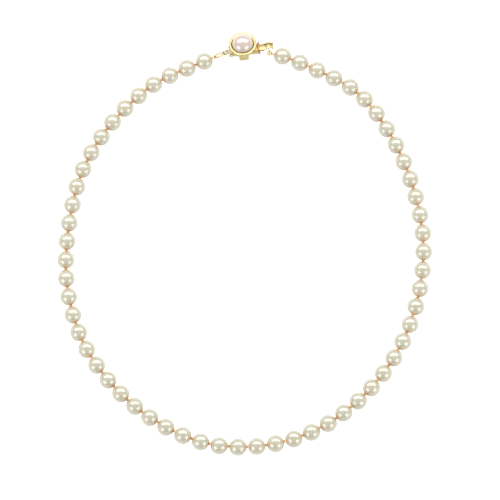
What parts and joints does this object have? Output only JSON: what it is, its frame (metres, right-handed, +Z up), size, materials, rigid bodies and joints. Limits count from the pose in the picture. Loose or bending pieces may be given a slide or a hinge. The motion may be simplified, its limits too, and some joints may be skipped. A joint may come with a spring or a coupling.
{
  "type": "pearl necklace",
  "caption": "Knotted single strand of round cream pearls laid in an open loop, closed by a gold box clasp with a pearl set in its polished cup.",
  "frame": {"origin": "on the surface that the necklace lies on, under the middle of its loop", "axes": "+Z up out of the surface, +Y towards the clasp at the nape, +X to the right with the clasp away from the viewer, the side of the tongue"},
  "size_m": [0.1392, 0.1594, 0.0105],
  "materials": {
    "pearl": "gloss",
    "setting_pearl": "gloss",
    "gold": "polished",
    "red_gold": "polished",
    "silk": "matte"
  },
  "bodies": {
    "strand_01": {"pearl_pair_01": "pearl", "thread_loop_left": "silk"},
    "strand_02": {"pearl_pair_02": "pearl"},
    "strand_03": {"pearl_pair_03": "pearl"},
    "strand_04": {"pearl_pair_04": "pearl"},
    "strand_05": {"pearl_pair_05": "pearl"},
    "strand_06": {"pearl_pair_06": "pearl"},
    "strand_07": {"pearl_pair_07": "pearl"},
    "strand_08": {"pearl_pair_08": "pearl"},
    "strand_09": {"pearl_pair_09": "pearl"},
    "strand_10": {"pearl_pair_10": "pearl"},
    "strand_11": {"pearl_pair_11": "pearl"},
    "strand_12": {"pearl_pair_12": "pearl"},
    "strand_13": {"pearl_pair_13": "pearl"},
    "strand_14": {"pearl_pair_14": "pearl"},
    "strand_15": {"pearl_pair_15": "pearl"},
    "strand_16": {"pearl_pair_16": "pearl"},
    "strand_17": {"pearl_pair_17": "pearl"},
    "strand_18": {"pearl_pair_18": "pearl"},
    "strand_19": {"pearl_pair_19": "pearl"},
    "strand_20": {"pearl_pair_20": "pearl"},
    "strand_21": {"pearl_pair_21": "pearl"},
    "strand_22": {"pearl_pair_22": "pearl"},
    "strand_23": {"pearl_pair_23": "pearl"},
    "strand_24": {"pearl_pair_24": "pearl"},
    "strand_25": {"pearl_pair_25": "pearl"},
    "strand_26": {"pearl_pair_26": "pearl"},
    "strand_27": {"pearl_pair_27": "pearl"},
    "strand_28": {"pearl_pair_28": "pearl"},
    "strand_29": {"pearl_pair_29": "pearl"},
    "strand_30": {"pearl_pair_30": "pearl", "thread_loop_right": "silk"},
    "clasp_box": {"clasp_strap": "gold", "clasp_tray": "gold", "clasp_cover": "gold", "clasp_slot_plate": "red_gold", "clasp_lug_plate": "gold", "clasp_cup": "gold", "clasp_peg": "gold", "clasp_pearl": "setting_pearl"},
    "tongue": {"tongue_plate": "gold", "tongue_thumb_piece": "gold", "tongue_end_ring": "gold"},
    "spring_leaf": {"tongue_spring_leaf": "red_gold"},
    "jump_ring": {"jump_ring": "gold"},
    "oval_link": {"oval_link": "gold"}
  },
  "joints": [
    {"name": "left_opening", "type": "hinge", "parent": "strand_15", "child": "strand_14", "pos_m": [-0.01292, -0.07531, 0.0032], "axis": [0, 0, 1], "range_deg": [0, 9]},
    {"name": "knot_13", "type": "hinge", "parent": "strand_14", "child": "strand_13", "pos_m": [-0.02607, -0.07065, 0.0032], "axis": [0, 0, 1], "range_deg": [0, 6.98]},
    {"name": "knot_12", "type": "hinge", "parent": "strand_13", "child": "strand_12", "pos_m": [-0.03798, -0.06337, 0.0032], "axis": [0, 0, 1], "range_deg": [0, 4.89]},
    {"name": "knot_11", "type": "hinge", "parent": "strand_12", "child": "strand_11", "pos_m": [-0.04833, -0.05398, 0.0032], "axis": [0, 0, 1], "range_deg": [0, 2.84]},
    {"name": "knot_10", "type": "hinge", "parent": "strand_11", "child": "strand_10", "pos_m": [-0.05681, -0.04287, 0.0032], "axis": [0, 0, 1], "range_deg": [0, 2.67]},
    {"name": "knot_09", "type": "hinge", "parent": "strand_10", "child": "strand_09", "pos_m": [-0.06275, -0.03025, 0.0032], "axis": [0, 0, 1], "range_deg": [-2.6, 0]},
    {"name": "knot_08", "type": "hinge", "parent": "strand_09", "child": "strand_08", "pos_m": [-0.06589, -0.01663, 0.0032], "axis": [0, 0, 1], "range_deg": [-2.35, 0]},
    {"name": "knot_07", "type": "hinge", "parent": "strand_08", "child": "strand_07", "pos_m": [-0.06637, -0.00267, 0.0032], "axis": [0.9997, 0.0233, 0], "range_deg": [0, 22]},
    {"name": "nape_lift", "type": "hinge", "parent": "strand_07", "child": "strand_06", "pos_m": [-0.06478, 0.01123, 0.0032], "axis": [0.9997, 0.0234, 0], "range_deg": [0, 22]},
    {"name": "knot_05", "type": "hinge", "parent": "strand_06", "child": "strand_05", "pos_m": [-0.06146, 0.02481, 0.0032], "axis": [0.9997, 0.0235, 0], "range_deg": [0, 22]},
    {"name": "knot_04", "type": "hinge", "parent": "strand_05", "child": "strand_04", "pos_m": [-0.05542, 0.03739, 0.0032], "axis": [0.9996, 0.0273, 0], "range_deg": [0, 22]},
    {"name": "knot_03", "type": "hinge", "parent": "strand_04", "child": "strand_03", "pos_m": [-0.04707, 0.0486, 0.0032], "axis": [0, 0, 1], "range_deg": [-8.23, 0]},
    {"name": "knot_02", "type": "hinge", "parent": "strand_03", "child": "strand_02", "pos_m": [-0.0369, 0.05818, 0.0032], "axis": [0, 0, 1], "range_deg": [-7.39, 0]},
    {"name": "knot_01", "type": "hinge", "parent": "strand_02", "child": "strand_01", "pos_m": [-0.0248, 0.0651, 0.0032], "axis": [0, 0, 1], "range_deg": [-5.83, 0]},
    {"name": "knot_15", "type": "hinge", "parent": "strand_15", "child": "strand_16", "pos_m": [0.00098, -0.07642, 0.0032], "axis": [0, 0, 1], "range_deg": [-1.1, 0]},
    {"name": "knot_16", "type": "hinge", "parent": "strand_16", "child": "strand_17", "pos_m": [0.01479, -0.0744, 0.0032], "axis": [0, 0, 1], "range_deg": [-1.87, 0]},
    {"name": "knot_17", "type": "hinge", "parent": "strand_17", "child": "strand_18", "pos_m": [0.0278, -0.06937, 0.0032], "axis": [0, 0, 1], "range_deg": [-3.06, 0]},
    {"name": "knot_18", "type": "hinge", "parent": "strand_18", "child": "strand_19", "pos_m": [0.03934, -0.0615, 0.0032], "axis": [0, 0, 1], "range_deg": [-3.86, 0]},
    {"name": "knot_19", "type": "hinge", "parent": "strand_19", "child": "strand_20", "pos_m": [0.04919, -0.05159, 0.0032], "axis": [0, 0, 1], "range_deg": [-4.31, 0]},
    {"name": "knot_20", "type": "hinge", "parent": "strand_20", "child": "strand_21", "pos_m": [0.05699, -0.04, 0.0032], "axis": [0, 0, 1], "range_deg": [-4.39, 0]},
    {"name": "knot_21", "type": "hinge", "parent": "strand_21", "child": "strand_22", "pos_m": [0.06245, -0.02714, 0.0032], "axis": [0, 0, 1], "range_deg": [-4.11, 0]},
    {"name": "knot_22", "type": "hinge", "parent": "strand_22", "child": "strand_23", "pos_m": [0.06562, -0.01353, 0.0032], "axis": [0, 0, 1], "range_deg": [-3.49, 0]},
    {"name": "knot_23", "type": "hinge", "parent": "strand_23", "child": "strand_24", "pos_m": [0.06639, 0.00042, 0.0032], "axis": [0.9997, 0.0233, 0], "range_deg": [0, 22]},
    {"name": "knot_24", "type": "hinge", "parent": "strand_24", "child": "strand_25", "pos_m": [0.06446, 0.01426, 0.0032], "axis": [0.9997, 0.0234, 0], "range_deg": [0, 22]},
    {"name": "knot_25", "type": "hinge", "parent": "strand_25", "child": "strand_26", "pos_m": [0.06049, 0.02768, 0.0032], "axis": [0.9997, 0.0235, 0], "range_deg": [0, 22]},
    {"name": "knot_26", "type": "hinge", "parent": "strand_26", "child": "strand_27", "pos_m": [0.05468, 0.0404, 0.0032], "axis": [0.9996, 0.0273, 0], "range_deg": [0, 22]},
    {"name": "knot_27", "type": "hinge", "parent": "strand_27", "child": "strand_28", "pos_m": [0.04696, 0.05204, 0.0032], "axis": [0, 0, 1], "range_deg": [0, 5.64]},
    {"name": "right_opening", "type": "hinge", "parent": "strand_28", "child": "strand_29", "pos_m": [0.03638, 0.06101, 0.0032], "axis": [0, 0, 1], "range_deg": [0, 8.7]},
    {"name": "knot_29", "type": "hinge", "parent": "strand_29", "child": "strand_30", "pos_m": [0.02382, 0.06718, 0.0032], "axis": [0, 0, 1], "range_deg": [0, 11.82]},
    {"name": "clasp_roll", "type": "hinge", "parent": "strand_01", "child": "clasp_box", "pos_m": [-0.00645, 0.07274, 0.00299], "axis": [0.9986, -0.0403, 0.0343], "range_deg": [-30, 30]},
    {"name": "tongue_roll", "type": "hinge", "parent": "strand_30", "child": "tongue", "pos_m": [0.0092, 0.07211, 0.00353], "axis": [0.9986, -0.0403, 0.0343], "range_deg": [-30, 30]},
    {"name": "jump_ring_turn", "type": "hinge", "parent": "clasp_box", "child": "jump_ring", "pos_m": [-0.00645, 0.07274, 0.00299], "axis": [0.9986, -0.0403, 0.0343], "range_deg": [-15, 15]},
    {"name": "oval_link_turn", "type": "hinge", "parent": "strand_01", "child": "oval_link", "pos_m": [-0.01094, 0.07087, 0.0031], "axis": [0.9231, 0.3839, -0.0223], "range_deg": [-7.5, 7.5]},
    {"name": "thumb_press", "type": "hinge", "parent": "tongue", "child": "spring_leaf", "pos_m": [-0.00222, 0.07317, 0.00278], "axis": [0.113, -0.9203, 0.3746], "range_deg": [0, 2.4], "stiffness_Nm_per_rad": 0.01}
  ],
  "couplings": [
    {"joint": "knot_13", "follows": "left_opening", "ratio": 0.77466},
    {"joint": "knot_12", "follows": "left_opening", "ratio": 0.54329},
    {"joint": "knot_11", "follows": "left_opening", "ratio": 0.31545},
    {"joint": "knot_10", "follows": "left_opening", "ratio": 0.29603},
    {"joint": "knot_09", "follows": "left_opening", "ratio": -0.28782},
    {"joint": "knot_08", "follows": "left_opening", "ratio": -0.26001},
    {"joint": "knot_07", "follows": "nape_lift", "ratio": 1},
    {"joint": "knot_05", "follows": "nape_lift", "ratio": 1},
    {"joint": "knot_04", "follows": "nape_lift", "ratio": 1},
    {"joint": "knot_03", "follows": "left_opening", "ratio": -0.91378},
    {"joint": "knot_02", "follows": "left_opening", "ratio": -0.82093},
    {"joint": "knot_01", "follows": "left_opening", "ratio": -0.64689},
    {"joint": "knot_15", "follows": "right_opening", "ratio": -0.12615},
    {"joint": "knot_16", "follows": "right_opening", "ratio": -0.21445},
    {"joint": "knot_17", "follows": "right_opening", "ratio": -0.35067},
    {"joint": "knot_18", "follows": "right_opening", "ratio": -0.44294},
    {"joint": "knot_19", "follows": "right_opening", "ratio": -0.49485},
    {"joint": "knot_20", "follows": "right_opening", "ratio": -0.50451},
    {"joint": "knot_21", "follows": "right_opening", "ratio": -0.47151},
    {"joint": "knot_22", "follows": "right_opening", "ratio": -0.4008},
    {"joint": "knot_23", "follows": "nape_lift", "ratio": 1},
    {"joint": "knot_24", "follows": "nape_lift", "ratio": 1},
    {"joint": "knot_25", "follows": "nape_lift", "ratio": 1},
    {"joint": "knot_26", "follows": "nape_lift", "ratio": 1},
    {"joint": "knot_27", "follows": "right_opening", "ratio": 0.64762},
    {"joint": "knot_29", "follows": "right_opening", "ratio": 1.3583},
    {"joint": "tongue_roll", "follows": "clasp_roll", "ratio": 1},
    {"joint": "jump_ring_turn", "follows": "clasp_roll", "ratio": -0.5},
    {"joint": "oval_link_turn", "follows": "clasp_roll", "ratio": 0.25}
  ]
}
